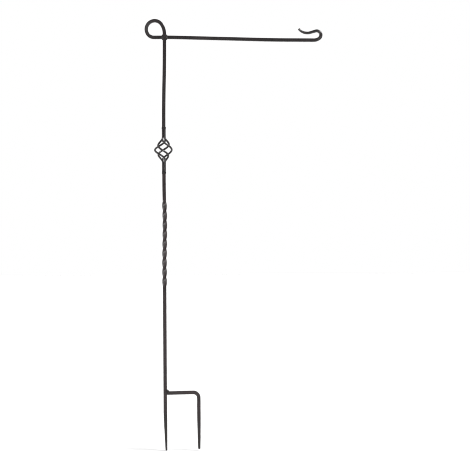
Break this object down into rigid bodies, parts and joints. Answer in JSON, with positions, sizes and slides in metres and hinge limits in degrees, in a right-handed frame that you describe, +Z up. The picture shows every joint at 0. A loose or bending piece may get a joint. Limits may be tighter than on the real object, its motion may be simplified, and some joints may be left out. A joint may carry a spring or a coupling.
{
  "type": "garden flag stand",
  "caption": "Ground stake of square iron bar with a flag arm and hook, an eye, a basket twist and a step with a side spike.",
  "frame": {"origin": "on the lower pole's axis, level with the underside of the step, where the soil's surface comes", "axes": "+Z up the pole, +X from the pole towards the flag arm and the side spike, -Y is the front"},
  "size_m": [0.413, 0.0393, 1.0003],
  "materials": {
    "bar_iron": "satin black paint over forged square bar",
    "rod_iron": "satin black paint over round rod",
    "weld_metal": "satin black paint over rippled weld beads"
  },
  "bodies": {
    "root": {"lower_bar": "bar_iron", "upper_bar": "bar_iron", "side_prong": "bar_iron", "basket_rod_1": "rod_iron", "basket_rod_2": "rod_iron", "basket_rod_3": "rod_iron", "basket_rod_4": "rod_iron", "weld_eye": "weld_metal", "weld_basket_top": "weld_metal", "weld_basket_bottom": "weld_metal", "weld_prong": "weld_metal"}
  },
  "joints": []
}
